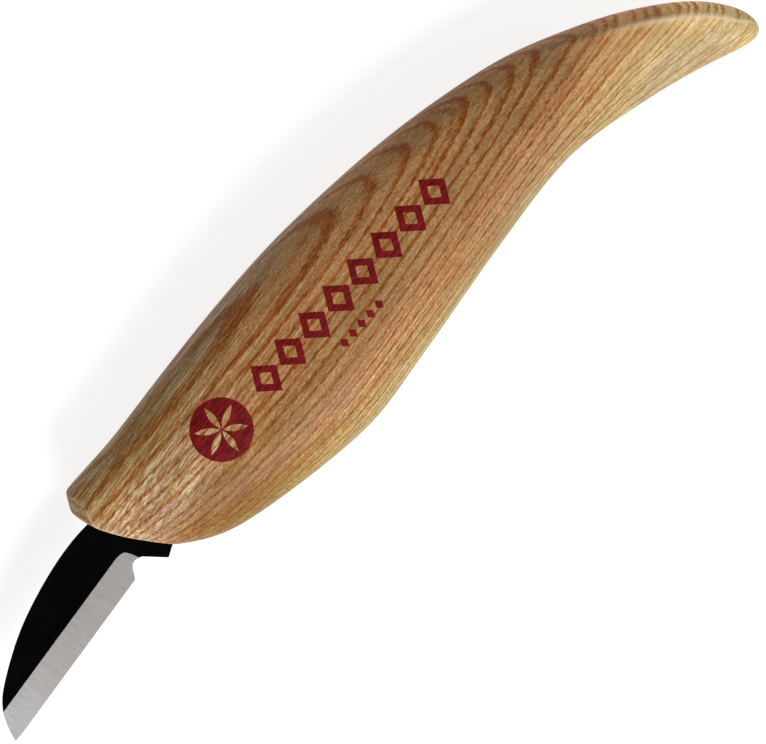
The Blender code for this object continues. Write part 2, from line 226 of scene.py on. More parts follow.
# Growth rings: almost flat layers round a distant pith, whose normal leans from z towards the spine and
# which bow a little along the handle.
GRAIN_LEAN = math.radians(37.0)
GRAIN_SLOPE, GRAIN_BOW, BOW_MIDDLE = 0.02, 0.00045, 100.0
PITH_DISTANCE = 200.0
BAND_TURN = 0.55  # growth that each millimetre inside the tail's crease adds: it turns the band's lines
INNERMOST_RING = -22.8  # along the growth direction
YEAR_WIDTHS = (1.2,) * 9 + (
    1.4, 1.4, 1.5, 1.6, 1.3, 1.0, 1.2, 1.4, 1.5, 1.1, 1.2, 1.0, 1.3,
    1.0, 1.1, 0.9, 1.2, 1.0, 1.0, 0.9, 1.2, 1.1, 1.2, 1.2, 1.2)
RING_WAVES = (  # patterns that shift the rings, each with its detail and how far it shifts them
    ((55.0, 12.0, 0.0), 1.0, 0.8),
    ((7.0, 1.5, 31.0), 1.0, 0.3),
    ((1.5, 0.17, 57.0), 2.0, 0.6),
)

# The rows of pores in a year, as shares of its width: where each opens, and where it closes.
FIRST_OPENS, FIRST_CLOSES, FIRST_CLOSED, FIRST_CLOSED_AT_TAIL = (0.0, 0.1), 0.16, 0.5, 0.34
SECOND_OPENS, SECOND_CLOSES = (0.48, 0.6), (0.62, 0.8)

# Colours of the steel, the adhesive, the ink and the floor.
OXIDE_DARK, OXIDE_PALE = (0.0005, 0.0006, 0.0006), (0.0013, 0.0014, 0.0014)
OXIDE_RUBBED = (0.006, 0.006, 0.006)
STEEL_DARK, STEEL_PALE, STEEL_DULL = (0.200, 0.191, 0.184), (0.262, 0.250, 0.243), (0.19, 0.182, 0.176)
TIP_TINT, HEEL_TINT = (1.10, 1.13, 1.15), (0.96, 0.95, 0.95)
TIP_TO_HEEL_X = (3.0, 18.0)
AMBER_DARK, AMBER_PALE, AMBER_BUBBLE = (0.16, 0.075, 0.02), (0.28, 0.15, 0.05), (0.5, 0.35, 0.18)
INK_DARK, INK_PALE, INK_THIN = (0.088, 0.002, 0.003), (0.185, 0.008, 0.009), (0.24, 0.05, 0.025)
FLOOR_DARK, FLOOR_PALE = (0.39, 0.39, 0.39), (0.41, 0.41, 0.41)
FLOOR_GLOW = 0.78

# The printed mark.
PRINT_GRID = 0.7  # about how far apart the cuts are that let the ink bend
PRINT_LIFT = 0.012  # how far the ink stands proud of the wood
PRINT_CUT_SLACK = 1e-9  # metres
ABOVE_HANDLE = 30.0
ROUNDEL = (62.3, 2.9)
ROUNDEL_RADIUS, ROUNDEL_EDGES = 5.3, 64
PETAL_COUNT, PETAL_STEPS = 6, 8
PETAL_FROM, PETAL_LENGTH, PETAL_WIDTH = 0.12, 4.5, 0.55
PETAL_TURN = 15.0  # degrees
ROW_FROM, ROW_TO = (70.5, 2.2), (117.0, -2.4)
ROW_COUNT = 8
ROW_HEIGHT = 6.6
ROW_STROKE = 1.5
ROW_FILL = 0.47  # half the share of the pitch that a lozenge takes
DOT_FROM, DOT_TO, DOT_DROP = 85.6, 94.0, 5.6
DOT_COUNT = 5
DOT_HALF_WIDTH, DOT_STRETCH = 0.75, 1.3

# The view in millimetres, and the light and the floor in metres.
LENS = 150.0
NEAREST_SEEN = 0.01  # metres
VIEW_WIDTH = 127.2
VIEW_TURN = -53.72  # degrees
VIEW_MIDDLE = (85.46, -12.76, 0.0)
WORLD_LIGHT = 0.34
KEY_DIRECTION, KEY_DISTANCE = (-0.4, -0.95, 1.0), 0.9
KEY_SIZE, KEY_POWER = (0.5, 0.4), 9.5
FLOOR_HALF = 3.0


def to_row(point):
    """The drawing's point in the row frame."""
    return Vector(point) * MM + DATUM


def link(name, data):
    """A new object in the scene."""
    made = bpy.data.objects.new(name, data)
    bpy.context.scene.collection.objects.link(made)
    return made


def mesh_of(shape, name):
    """The finished shape as a mesh."""
    mesh = bpy.data.meshes.new(name)
    shape.to_mesh(mesh)
    shape.free()
    return mesh


def spline(rows):
    """A natural cubic spline through the rows, as a function of the row number."""
    rows = np.array(rows, dtype=float)
    count = len(rows)
    system = np.eye(count)
    target = np.zeros_like(rows)
    for i in range(1, count - 1):
        system[i, i - 1:i + 2] = (1.0, 4.0, 1.0)
        target[i] = 6.0 * (rows[i + 1] - 2.0 * rows[i] + rows[i - 1])
    bend = np.linalg.solve(system, target)

    def at(t):
        i = np.clip(np.floor(t).astype(int), 0, count - 2)
        b = (t - i)[:, None]
        a = 1.0 - b
        return (a * rows[i] + b * rows[i + 1]
                + ((a ** 3 - a) * bend[i] + (b ** 3 - b) * bend[i + 1]) / 6.0)

    return at


def smooth_through(rows, steps):
    """Points of a spline through the rows, with as many steps between two rows as given."""
    return spline(rows)(np.linspace(0.0, len(rows) - 1.0, (len(rows) - 1) * steps + 1))


def smoothstep(low, high, value):
    """A share that rises smoothly from 0 at the low value to 1 at the high one."""
    t = min(max((value - low) / (high - low), 0.0), 1.0)
    return t * t * (3.0 - 2.0 * t)


# ---------------- handle


def oval_half(depth, half_thickness):
    """Half an oval from top to bottom: how far up and how far out each point lies."""
    angle = np.linspace(0.0, math.pi, HALF_RING + 1)
    up = np.sign(np.cos(angle)) * np.abs(np.cos(angle)) ** (2.0 / FULLNESS)
    out = np.clip(np.sin(angle), 0.0, 1.0) ** (2.0 / FULLNESS)
    return np.column_stack((up * depth / 2.0, out * half_thickness))


def creased_half(depth, half_thickness):
    """Half the tail's section in the same way: the band as an arc, then the cheek."""
    band = min(BAND, BAND_SHARE * depth)
    radius = (half_thickness ** 2 + band ** 2) / (2.0 * band)
    crease_angle = math.asin(min(half_thickness / radius, 1.0))
    over = np.arange(CREASE_EDGES) / CREASE_EDGES * crease_angle
    top = np.column_stack((depth / 2.0 - radius * (1.0 - np.cos(over)), radius * np.sin(over)))
    down = np.linspace(0.0, math.pi / 2.0, HALF_RING - CREASE_EDGES + 1)
    fall = np.sin(down) ** (2.0 / TAIL_FULLNESS)
    out = np.clip(np.cos(down), 0.0, 1.0) ** (2.0 / TAIL_FULLNESS)
    cheek = np.column_stack((depth / 2.0 - band - (depth - band) * fall, out * half_thickness))
    return np.vstack((top, cheek))


def soften(line, corner, reach, passes):
    """Rounds the corner of a line of points, as far as the reach on both sides of it."""
    low, high = corner - reach, corner + reach + 1
    for _ in range(passes):
        inner = line[low:high]
        line[low:high] = 0.5 * inner + 0.25 * (line[low - 1:high - 1] + line[low + 1:high + 1])


def section_ring(rib):
    """The section at a rib, from the spine down one side to the belly and back up the other."""
    spine, belly, half_thickness = rib[:2], rib[2:4], rib[4]
    depth = float(np.linalg.norm(spine - belly))
    up = (spine - belly) / depth
    middle = (spine + belly) / 2.0
    crease = smoothstep(CREASE_FROM, CREASE_FULL, spine[0])
    half = (1.0 - crease) * oval_half(depth, half_thickness) + crease * creased_half(depth, half_thickness)
    half[:, 1] *= half_thickness / half[:, 1].max()
    soften(half, CREASE_EDGES, CREASE_SOFT_EDGES, CREASE_SOFT_PASSES)
    half[:, 1] = -FLAT_SOFTNESS * np.logaddexp(-half[:, 1] / FLAT_SOFTNESS, -SIDE_FLAT / FLAT_SOFTNESS)
    half[[0, -1], 1] = 0.0
    whole = np.vstack((half, half[-2:0:-1] * (1.0, -1.0)))
    return np.column_stack((middle + whole[:, :1] * up, whole[:, 1]))


def nose_x(y, z):
    """How far back the front of the nose lies at each y and z, with its edges slightly rounded."""
    front = smooth_through(NOSE_FRONT, NOSE_STEPS)
    order = np.argsort(front[:, 1])
    front_x = np.interp(y, front[order, 1], front[order, 0])
    base, top = NOSE_FRONT[0], NOSE_CHAMFER_TOP
    chamfer_x = base[0] + (y - base[1]) * (top[0] - base[0]) / (top[1] - base[1])
    a, b, c = (np.array(point) for point in NOSE_FACET)
    normal = np.cross(b - a, c - a)
    facet_x = a[0] - (normal[1] * (y - a[1]) + normal[2] * (np.abs(z) - a[2])) / normal[0]
    stack = np.stack((front_x, chamfer_x, facet_x)) / NOSE_ROUNDING
    return NOSE_ROUNDING * np.logaddexp.reduce(stack, axis=0)


def body_line(line):
    """The part of a line that lies behind the nose's rim, and its points' distances from that."""
    behind = line[:, 0] - nose_x(line[:, 1], line[:, 2])
    first = int(np.argmax(behind > 0.0))
    part = behind[first] / (behind[first] - behind[first - 1])
    rim = line[first] + part * (line[first - 1] - line[first])
    body = np.vstack((rim, line[first:]))
    run = np.concatenate(([0.0], np.cumsum(np.linalg.norm(np.diff(body, axis=0), axis=1))))
    near_rim = np.concatenate((np.arange(0.0, RIM_REACH, RIM_STEP), RIM_LAST))
    shares = np.linspace(0.0, 1.0, BODY_RINGS)[1:]
    stations = np.concatenate((near_rim, near_rim[-1] + (run[-1] - near_rim[-1]) * shares))
    return np.column_stack([np.interp(stations, run, body[:, axis]) for axis in range(3)]), stations


def front_line(rim):
    """Points from the middle of the nose's front to a point of its rim, and their distances from it."""
    reach = math.hypot(rim[1] - NOSE_MIDDLE, rim[2])
    near_rim = np.arange(RIM_STEP, RIM_REACH, RIM_STEP)
    inward = np.concatenate((near_rim, np.linspace(RIM_REACH, reach, NOSE_RINGS)[1:-1]))[::-1]
    keep = 1.0 - inward / reach
    y = NOSE_MIDDLE + (rim[1] - NOSE_MIDDLE) * keep
    z = rim[2] * keep
    return np.column_stack((nose_x(y, z), y, z)), inward


def handle_lines():
    """The handle's surface as lines from the middle of its nose to its tail, one for each point of a ring.

    With them comes how much painted highlight each point gets: most along the nose's rim and the tail's
    creases.
    """
    ribs = spline(HANDLE_RIBS)(np.linspace(0.0, len(HANDLE_RIBS) - 1.0, SECTIONS))
    table = np.stack([section_ring(rib) for rib in ribs])
    lines = []
    highlighted = []
    for k in range(table.shape[1]):
        body, behind_rim = body_line(table[:, k])
        rim_height = body[0, 1]
        front, before_rim = front_line(body[0])
        whole = np.vstack((front, body))
        soften(whole, len(front), RIM_SOFT_RINGS, RIM_SOFT_PASSES)
        lines.append(whole)
        from_rim = np.concatenate((before_rim, behind_rim))
        from_crease = min(abs(k - CREASE_EDGES), abs(k - (2 * HALF_RING - CREASE_EDGES)))
        creased = np.clip((whole[:, 0] - HIGHLIGHT_FROM) / (HIGHLIGHT_FULL - HIGHLIGHT_FROM), 0.0, 1.0)
        rim_share = 1.0 - RIM_HIGHLIGHT_DROP * smoothstep(RIM_HIGHLIGHT_LOW, RIM_HIGHLIGHT_HIGH, rim_height)
        # painted highlight: along the nose's rim, and along the tail's creases towards its end
        highlighted.append(rim_share * np.exp(-(from_rim / RIM_HIGHLIGHT) ** 2)
                    + CREASE_HIGHLIGHT_STRENGTH * creased * math.exp(-(from_crease / CREASE_HIGHLIGHT) ** 2))
    return np.stack(lines, axis=1), np.stack(highlighted, axis=1)


def band_depths(rings):
    """How far inside the tail's crease each point lies, or 0 away from the band."""
    creased = np.clip((rings[:, :, 0] - CREASE_FROM) / (CREASE_FULL - CREASE_FROM), 0.0, 1.0)
    inside = rings[:, CREASE_EDGES, 2][:, None] - np.abs(rings[:, :, 2])
    place = np.arange(rings.shape[1])
    on_band = (place <= CREASE_EDGES) | (place >= 2 * HALF_RING - CREASE_EDGES)
    return creased * on_band * np.clip(inside, 0.0, None)


def make_handle():
    """The handle with its slot, and with the painted highlight and the band's depth on its points."""
    rings, highlighted = handle_lines()
    shape = bmesh.new()
    painted_highlight = shape.verts.layers.float.new(PAINTED_HIGHLIGHT)
    band = shape.verts.layers.float.new(BAND_DEPTH)
    rows = [[shape.verts.new(to_row(point)) for point in ring] for ring in rings]
    for row, row_highlight, row_band in zip(rows, highlighted, band_depths(rings)):
        for vert, amount, depth in zip(row, row_highlight, row_band):
            vert[painted_highlight] = amount
            vert[band] = depth
    count = len(rows[0])
    for near, far in zip(rows, rows[1:]):
        for k in range(count):
            after = (k + 1) % count
            shape.faces.new((near[k], near[after], far[after], far[k]))
    for end in (rows[0], rows[-1]):
        pole = shape.verts.new(sum((vert.co for vert in end), Vector()) / count)
        for k in range(count):
            shape.faces.new((end[k], end[(k + 1) % count], pole))
    bmesh.ops.recalc_face_normals(shape, faces=shape.faces)
    handle = link("handle_wood", mesh_of(shape, "handle_wood"))
    slot = tang_outline(CLEAR_OF_NOSE, CLEAR_OF_NOSE, 2.0 * BOND_GAP + GLUE_FILM)
    cut(handle, [plate("slot_cutter", slot, SLOT_HALF)])
    handle.data.shade_smooth()
    handle.data.set_sharp_from_angle(angle=SHARP_ANGLE)
    return handle


# ---------------- flat pieces


def filled(name, outlines, fill, half_thickness=0.0):
    """The space inside the outlines as a mesh, drawn round the row frame's origin."""
    curve = bpy.data.curves.new(name, "CURVE")
    curve.dimensions = "2D"
    curve.fill_mode = fill
    curve.extrude = half_thickness * MM
    for outline in outlines:
        drawn = curve.splines.new("POLY")
        drawn.points.add(len(outline) - 1)
        for point, (x, y) in zip(drawn.points, outline):
            point.co = (x * MM, y * MM, 0.0, 1.0)
        drawn.use_cyclic_u = True
    return as_mesh(link(name, curve))


def plate(name, outline, half_thickness):
    """A closed plate with the given outline, from z = -half_thickness to +half_thickness in the drawing."""
    made = filled(name, [outline], "BOTH", half_thickness)
    made.matrix_world = Matrix.Translation(DATUM)
    return made


def as_mesh(drawn):
    """The same object as a mesh, with its points welded and its normals outwards."""
    bpy.context.view_layer.update()
    evaluated = drawn.evaluated_get(bpy.context.evaluated_depsgraph_get())
    mesh = bpy.data.meshes.new_from_object(evaluated)
    name = drawn.name
    bpy.data.objects.remove(drawn)
    shape = bmesh.new()
    shape.from_mesh(mesh)
    bmesh.ops.remove_doubles(shape, verts=shape.verts, dist=WELD * MM)
    bmesh.ops.recalc_face_normals(shape, faces=shape.faces)
    shape.to_mesh(mesh)
    shape.free()
    mesh.shade_flat()
    return link(name, mesh)


def apply_modifiers(piece):
    """Gives the piece the mesh that its modifiers make of it."""
    bpy.context.view_layer.update()
    evaluated = piece.evaluated_get(bpy.context.evaluated_depsgraph_get())
    mesh = bpy.data.meshes.new_from_object(evaluated)
    piece.modifiers.clear()
    piece.data = mesh


def cut(target, tools, operation="DIFFERENCE"):
    """Takes the tools away from the target, or joins them to it, and removes them."""
    for tool in tools:
        modifier = target.modifiers.new(tool.name, "BOOLEAN")
        modifier.operation = operation
        modifier.solver = "EXACT"
        modifier.object = tool
    apply_modifiers(target)
    for tool in tools:
        bpy.data.objects.remove(tool)


def rod_along_z(name, x, radius, half_length):
    """A round rod through the middle of the tang's depth, at x."""
    shape = bmesh.new()
    bmesh.ops.create_cone(shape, cap_ends=True, segments=ROD_SIDES, radius1=radius * MM,
                          radius2=radius * MM, depth=2.0 * half_length * MM)
    rod = link(name, mesh_of(shape, name))
    rod.location = to_row((x, TANG_MIDDLE, 0.0))
    return rod


def on_line(start, end, x):
    """The point at x on the line through two points."""
    return (x, start[1] + (end[1] - start[1]) * (x - start[0]) / (end[0] - start[0]))


def tang_outline(front_low, front_high, margin):
    """The tang grown by the margin, from x = front_low below round its end to x = front_high above."""
    centre = (TANG_END - (TANG_HIGH - TANG_LOW) / 2.0, TANG_MIDDLE)
    radius = (TANG_HIGH - TANG_LOW) / 2.0 + margin
    low_x, low_y = on_line(SHOULDER_CORNER, (TANG_NECK, TANG_LOW), front_low)
    high_x, high_y = on_line(BLADE_SPINE[0], (TANG_NECK, TANG_HIGH), front_high)
    points = [(low_x, low_y - margin), (TANG_NECK, TANG_LOW - margin)]
    for k in range(TANG_END_EDGES + 1):
        angle = math.pi * (k / TANG_END_EDGES - 0.5)
        points.append((centre[0] + radius * math.cos(angle), centre[1] + radius * math.sin(angle)))
    points += [(TANG_NECK, TANG_HIGH + margin), (high_x, high_y + margin)]
    return points


def apart(points):
    """The points without any that repeat the one before, or the first."""
    kept = [tuple(points[0])]
    for point in points[1:]:
        if math.dist(point, kept[-1]) > POINTS_APART and math.dist(point, kept[0]) > POINTS_APART:
            kept.append(tuple(point))
    return kept


# ---------------- blade


def blade_outline():
    """The blade and its tang: along the spine to the tip, back by the choil, and round the tang."""
    points = []
    for stretch in (BLADE_SPINE, BLADE_TIP, CHOIL):
        points += [tuple(point) for point in smooth_through(stretch, ARC_STEPS)]
    points.append(CHOIL_SPUR)
    return apart(points + tang_outline(SHOULDER_CORNER[0], BLADE_SPINE[0][0], 0.0))


def bevel_cutter(side):
    """What is ground off one side, 1 or -1, tilted so that the edge keeps half its land there."""
    rise = (BLADE_THICKNESS - EDGE_LAND) / 2.0
    tilt = math.atan2(rise, GRIND_HEIGHT)
    bevel = [(CLEAR_OF_TIP, CLEAR_BELOW), (CLEAR_OF_TIP, GRIND_HEIGHT)]
    bevel += [tuple(point) for point in smooth_through(PLUNGE, ARC_STEPS)]
    bevel.append((PLUNGE[-1][0], CLEAR_BELOW))
    cutter = plate(f"bevel_cutter_{side}", [(x, side * (y - GRIND_HEIGHT)) for x, y in bevel], CUTTER_HALF)
    place = Matrix.Translation(to_row((0.0, GRIND_HEIGHT, side * BLADE_THICKNESS / 2.0)))
    turn = Matrix.Rotation(tilt if side > 0 else math.pi - tilt, 4, "X")
    cutter.matrix_world = place @ turn @ Matrix.Translation((0.0, 0.0, CUTTER_HALF * MM))
    return cutter


def tang_cutter(side):
    """What makes the tang thinner than the blade on one side, 1 or -1."""
    outline = [(x - TANG_STEP, y) for x, y in smooth_through(NOSE_FRONT, ARC_STEPS)]
    outline += [(CLEAR_OF_TANG, NOSE_FRONT[-1][1]), (CLEAR_OF_TANG, NOSE_FRONT[0][1])]
    cutter = plate(f"tang_cutter_{side}", outline, CUTTER_HALF)
    cutter.location.z += side * (TANG_THICKNESS / 2.0 + CUTTER_HALF) * MM
    return cutter


def make_blade():
    """The blade with its bevels, its tang and the tang's holes, and with its edges broken."""
    blade = plate("blade_steel", blade_outline(), BLADE_THICKNESS / 2.0)
    tools = [rod_along_z(f"key_hole_{x:.0f}", x, KEY_HOLE_RADIUS, CUTTER_HALF) for x in KEY_HOLES]
    for side in (1, -1):
        tools += [bevel_cutter(side), tang_cutter(side)]
    cut(blade, tools)
    rounding = blade.modifiers.new("broken_edges", "BEVEL")
    rounding.width = EDGE_ROUNDING * MM
    rounding.segments = EDGE_ROUNDING_STEPS
    rounding.limit_method = "ANGLE"
    rounding.angle_limit = EDGE_ROUNDING_ANGLE
    apply_modifiers(blade)
    return blade


def paint_blade(blade, oxide, ground):
    """Gives the ground bevels and the heel's plunge bright steel, and everything else black oxide."""
    blade.data.materials.append(oxide)
    blade.data.materials.append(ground)
    for face in blade.data.polygons:
        middle = (face.center - DATUM) / MM
        tilted = TILTED[0] < abs(face.normal.z) < TILTED[1]
        in_grind = middle.y < GRIND_HEIGHT + GRIND_MARGIN and middle.x < PLUNGE[-1][0] + PLUNGE_MARGIN
        below_flat = abs(middle.z) < BLADE_THICKNESS / 2.0 - FLAT_MARGIN
        face.material_index = 1 if in_grind and (tilted or below_flat) else 0


# ---------------- adhesive


def make_adhesive():
    """Set epoxy that fills the slot round the tang, drawn in a little behind the nose."""
    front = [(x + GLUE_DRAWN_IN, y) for x, y in smooth_through(NOSE_FRONT, ARC_STEPS)]
    slot = tang_outline(CLEAR_OF_NOSE, CLEAR_OF_NOSE, BOND_GAP + GLUE_FILM)
    adhesive = plate("epoxy_bond", slot, GLUE_HALF)
    trim_x, space_x = CLEAR_OF_NOSE - CUT_PAST, CLEAR_OF_NOSE - 2.0 * CUT_PAST
    before_nose = front + [(trim_x, NOSE_FRONT[-1][1]), (trim_x, NOSE_FRONT[0][1])]
    space = tang_outline(space_x, space_x, BOND_GAP)
    cut(adhesive, [plate("nose_trim", before_nose, CUTTER_HALF),
                   plate("tang_space", space, TANG_THICKNESS / 2.0 + BOND_GAP)])
    plugs = [rod_along_z(f"plug_{x:.0f}", x, KEY_HOLE_RADIUS - BOND_GAP, GLUE_HALF - GLUE_FILM / 2.0)
             for x in KEY_HOLES]
    cut(adhesive, plugs, "UNION")
    return adhesive


# ---------------- materials


class Graph:
    """A material's node tree, with short ways to add the nodes used here."""

    def __init__(self, name):
        self.material = bpy.data.materials.new(name)
        self.material.use_nodes = True
        self.tree = self.material.node_tree
        self.shader = self.tree.nodes["Principled BSDF"]

    def put(self, value, socket):
        """Links a socket's value to the socket, or sets a plain value on it."""
        if isinstance(value, bpy.types.NodeSocket):
            self.tree.links.new(value, socket)
        else:
            socket.default_value = value

    def add(self, kind, **settings):
        node = self.tree.nodes.new(kind)
        for name, value in settings.items():
            setattr(node, name, value)
        return node

    def math(self, operation, a, b=0.0, c=0.0, clamp=False):
        node = self.add("ShaderNodeMath", operation=operation, use_clamp=clamp)
        for value, socket in zip((a, b, c), node.inputs):
            self.put(value, socket)
        return node.outputs[0]

    def product(self, first, *others):
        for other in others:
            first = self.math("MULTIPLY", first, other)
        return first

    def vector(self, operation, a, b=(0.0, 0.0, 0.0)):
        node = self.add("ShaderNodeVectorMath", operation=operation)
        self.put(a, node.inputs[0])
        self.put(b, node.inputs[1])
        return node.outputs["Value"] if operation in ("LENGTH", "DOT_PRODUCT") else node.outputs[0]

    def split(self, place):
        node = self.add("ShaderNodeSeparateXYZ")
        self.put(place, node.inputs[0])
        return node.outputs

    def attribute(self, name):
        return self.add("ShaderNodeAttribute", attribute_name=name).outputs["Fac"]

    def ranged(self, value, low, high, to_low=0.0, to_high=1.0, smooth=True):
        """The value taken from low..high to to_low..to_high, and held there past both ends."""
        kind = "SMOOTHSTEP" if smooth else "LINEAR"
        node = self.add("ShaderNodeMapRange", interpolation_type=kind)
        for number, socket in zip((value, low, high, to_low, to_high), node.inputs):
            self.put(number, socket)
        return node.outputs[0]

    def texture(self, kind, place, along, across, start=0.0):
        """A texture in spans of `along` on x and `across` on y and z, from where its pattern starts."""
        shifted = self.vector("ADD", place, tuple(share * start for share in START_SHARES))
        node = self.add(kind)
        self.put(self.vector("DIVIDE", shifted, (along, across, across)), node.inputs["Vector"])
        node.inputs["Scale"].default_value = 1.0
        return node

    def noise(self, place, pattern, detail=2.0, roughness=0.5):
        node = self.texture("ShaderNodeTexNoise", place, *pattern)
        node.inputs["Detail"].default_value = detail
        node.inputs["Roughness"].default_value = roughness
        return node.outputs["Fac"]

    def cells(self, place, pattern):
        """How far a place is from the middle of its cell."""
        return self.texture("ShaderNodeTexVoronoi", place, *pattern).outputs["Distance"]

    def ramp(self, factor, stops):
        node = self.add("ShaderNodeValToRGB")
        node.color_ramp.interpolation = "EASE"
        for element, (place, colour) in zip(node.color_ramp.elements, stops):
            element.position = place
            element.color = (*colour, 1.0)
        self.put(factor, node.inputs["Fac"])
        return node.outputs["Color"]

    def mix(self, factor, a, b, blend="MIX"):
        node = self.add("ShaderNodeMix", data_type="RGBA", blend_type=blend)
        self.put(factor, node.inputs[0])
        self.put(a if not isinstance(a, tuple) else (*a, 1.0), node.inputs[6])
        self.put(b if not isinstance(b, tuple) else (*b, 1.0), node.inputs[7])
        return node.outputs[2]

    def bump(self, height, distance, strength):
        """Bumps as high as the distance, in millimetres."""
        node = self.add("ShaderNodeBump")
        node.inputs["Distance"].default_value = distance * MM
        node.inputs["Strength"].default_value = strength
        self.put(height, node.inputs["Height"])
        self.put(node.outputs["Normal"], self.shader.inputs["Normal"])

    def drawing_place(self):
        """Where a point is in the knife's drawing, in millimetres."""
        place = self.add("ShaderNodeTexCoord").outputs["Object"]
        return self.vector("MULTIPLY", self.vector("SUBTRACT", place, tuple(DATUM)), (1.0 / MM,) * 3)

    def set(self, **values):
        for name, value in values.items():
            self.put(value, self.shader.inputs[name.replace("_", " ")])


def wood_places(graph):
    """What the wood's layers share: a point's place, and how much it belongs to the nose, tail and band."""
    place = graph.drawing_place()
    along, across, _ = graph.split(place)
    nose = graph.ranged(along, *NOSE_END_X, 1.0, 0.0)
    tail = graph.ranged(along, *TAIL_X)
    band = graph.attribute(BAND_DEPTH)
    return SimpleNamespace(place=place, along=along, across=across, nose=nose, tail=tail, band=band)


def years_grown(graph, share):
    """The share of the years that have grown at a share of their whole depth."""
    growth = graph.add("ShaderNodeFloatCurve")
    curve = growth.mapping.curves[0]
    curve.points[-1].location = (1.0, 1.0)
    grown = 0.0
    for year, width in enumerate(YEAR_WIDTHS[:-1], start=1):
        grown += width
        curve.points.new(grown / sum(YEAR_WIDTHS), year / len(YEAR_WIDTHS))
    for point in curve.points:
        point.handle_type = "VECTOR"
    growth.mapping.update()
    graph.put(share, growth.inputs["Value"])
    return growth.outputs["Value"]


def growth_rings(graph, where):
    """How far a place is from the pith, wavering along the grain, and the number of its growth ring."""
    outward = (0.0, math.sin(GRAIN_LEAN), math.cos(GRAIN_LEAN))
    sideways = (0.0, math.cos(GRAIN_LEAN), -math.sin(GRAIN_LEAN))
    depth = graph.math("ADD", graph.vector("DOT_PRODUCT", where.place, outward), PITH_DISTANCE)
    aside = graph.vector("DOT_PRODUCT", where.place, sideways)
    radius = graph.math("SQRT", graph.math("ADD", graph.product(depth, depth), graph.product(aside, aside)))
    from_middle = graph.math("SUBTRACT", where.along, BOW_MIDDLE)
    slope = graph.math("MULTIPLY_ADD", from_middle, GRAIN_BOW, GRAIN_SLOPE)
    radius = graph.math("ADD", radius, graph.product(from_middle, slope))
    radius = graph.math("MULTIPLY_ADD", where.band, BAND_TURN, radius)
    for pattern, detail, reach in RING_WAVES:
        wave = graph.noise(where.place, pattern, detail)
        radius = graph.math("ADD", radius, graph.product(graph.math("SUBTRACT", wave, 0.5), reach))
    since_first = graph.math("SUBTRACT", radius, PITH_DISTANCE + INNERMOST_RING)
    grown = years_grown(graph, graph.math("DIVIDE", since_first, sum(YEAR_WIDTHS)))
    return radius, graph.product(grown, float(len(YEAR_WIDTHS)))


def pore_rows(graph, where, rings):
    """How porous the wood is: most where a year starts, and a little more again past its middle."""
    season = graph.math("FRACT", rings)
    random = graph.add("ShaderNodeTexWhiteNoise", noise_dimensions="1D")
    graph.put(graph.math("FLOOR", rings), random.inputs["W"])
    whim = random.outputs["Value"]
    closed = graph.ranged(where.tail, 0.0, 1.0, FIRST_CLOSED, FIRST_CLOSED_AT_TAIL)
    first_row = graph.product(
        graph.ranged(season, *FIRST_OPENS), graph.ranged(season, FIRST_CLOSES, closed, 1.0, 0.0),
        graph.ranged(whim, 0.0, 1.0, 0.75, 1.0, smooth=False))
    second_row = graph.product(
        graph.ranged(season, *SECOND_OPENS), graph.ranged(season, *SECOND_CLOSES, 1.0, 0.0),
        graph.ranged(whim, 0.2, 0.9, 0.1, 0.6), graph.ranged(where.tail, 0.0, 1.0, 1.0, 1.5))
    return graph.math("MAXIMUM", first_row, second_row)


def bare_timber(graph, where, porous, fibre, vessels):
    """Speckled late wood and dark early wood, with the fibres and the pores that run through both."""
    streak = graph.noise(where.place, STREAK)
    speckle = graph.noise(where.place, SPECKLE)
    cloud = graph.noise(where.place, CLOUD, detail=1.0)
    fine_gap = graph.cells(where.place, FINE_VESSELS)
    fine_vessels = graph.product(graph.ranged(fine_gap, 0.2, 0.42, 1.0, 0.0),
                                 graph.ranged(porous, 0.05, 0.8, 0.35, 1.0))
    late = graph.ramp(graph.ranged(streak, 0.3, 0.7), ((0.0, LATE_DARK), (1.0, LATE_PALE)))
    late = graph.mix(graph.ranged(speckle, 0.52, 0.68, 0.0, 0.65), late, SPECKLE_DARK)
    late = graph.mix(graph.ranged(speckle, 0.30, 0.46, 0.6, 0.0), late, SPECKLE_PALE)
    early = graph.ramp(graph.ranged(fibre, 0.3, 0.7), ((0.0, EARLY_DARK), (1.0, EARLY_PALE)))
    early = graph.mix(where.tail, early, TAIL_EARLY)
    wood = graph.mix(porous, late, early)
    shade = graph.product(graph.ranged(fibre, 0.38, 0.66), graph.ranged(where.across, *SHADED_Y, 0.35, 0.7))
    wood = graph.mix(shade, wood, FIBRE_SHADE)
    wood = graph.mix(graph.product(fine_vessels, FINE_PORE_WEIGHT), wood, FINE_PORE)
    wood = graph.mix(graph.product(vessels, PORE_WEIGHT), wood, PORE)
    return graph.mix(graph.ranged(cloud, 0.35, 0.75, 0.0, 0.25), wood, CLOUD_SHADE)


